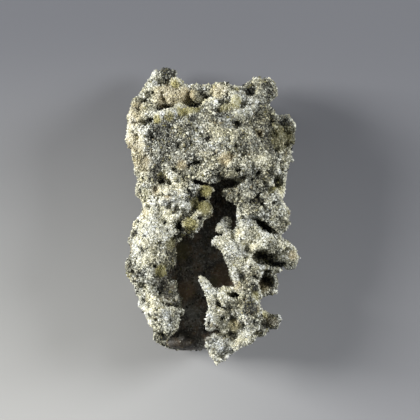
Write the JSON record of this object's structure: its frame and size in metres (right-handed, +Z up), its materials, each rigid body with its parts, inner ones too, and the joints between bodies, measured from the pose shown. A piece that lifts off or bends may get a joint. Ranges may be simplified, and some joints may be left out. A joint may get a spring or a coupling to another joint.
{
  "type": "fulgurite",
  "caption": "Short thick-walled tube of lightning-fused sand with a rough grainy crust, a torn mouth and a broken-open side that shows its glassy bore, lying on its back.",
  "frame": {"origin": "bottom centre of the bounding box, on the surface that the specimen lies on", "axes": "+Y along the tube towards its torn mouth, +Z up out of the broken-open side, +X across the tube"},
  "size_m": [0.0186, 0.032, 0.0131],
  "materials": {
    "fused_sand": "granular matt crust of cream, grey and dark sand grains in clear glass, with dark smooth glass inside the bore"
  },
  "bodies": {
    "root": {"fulgurite": "fused_sand"}
  },
  "joints": []
}
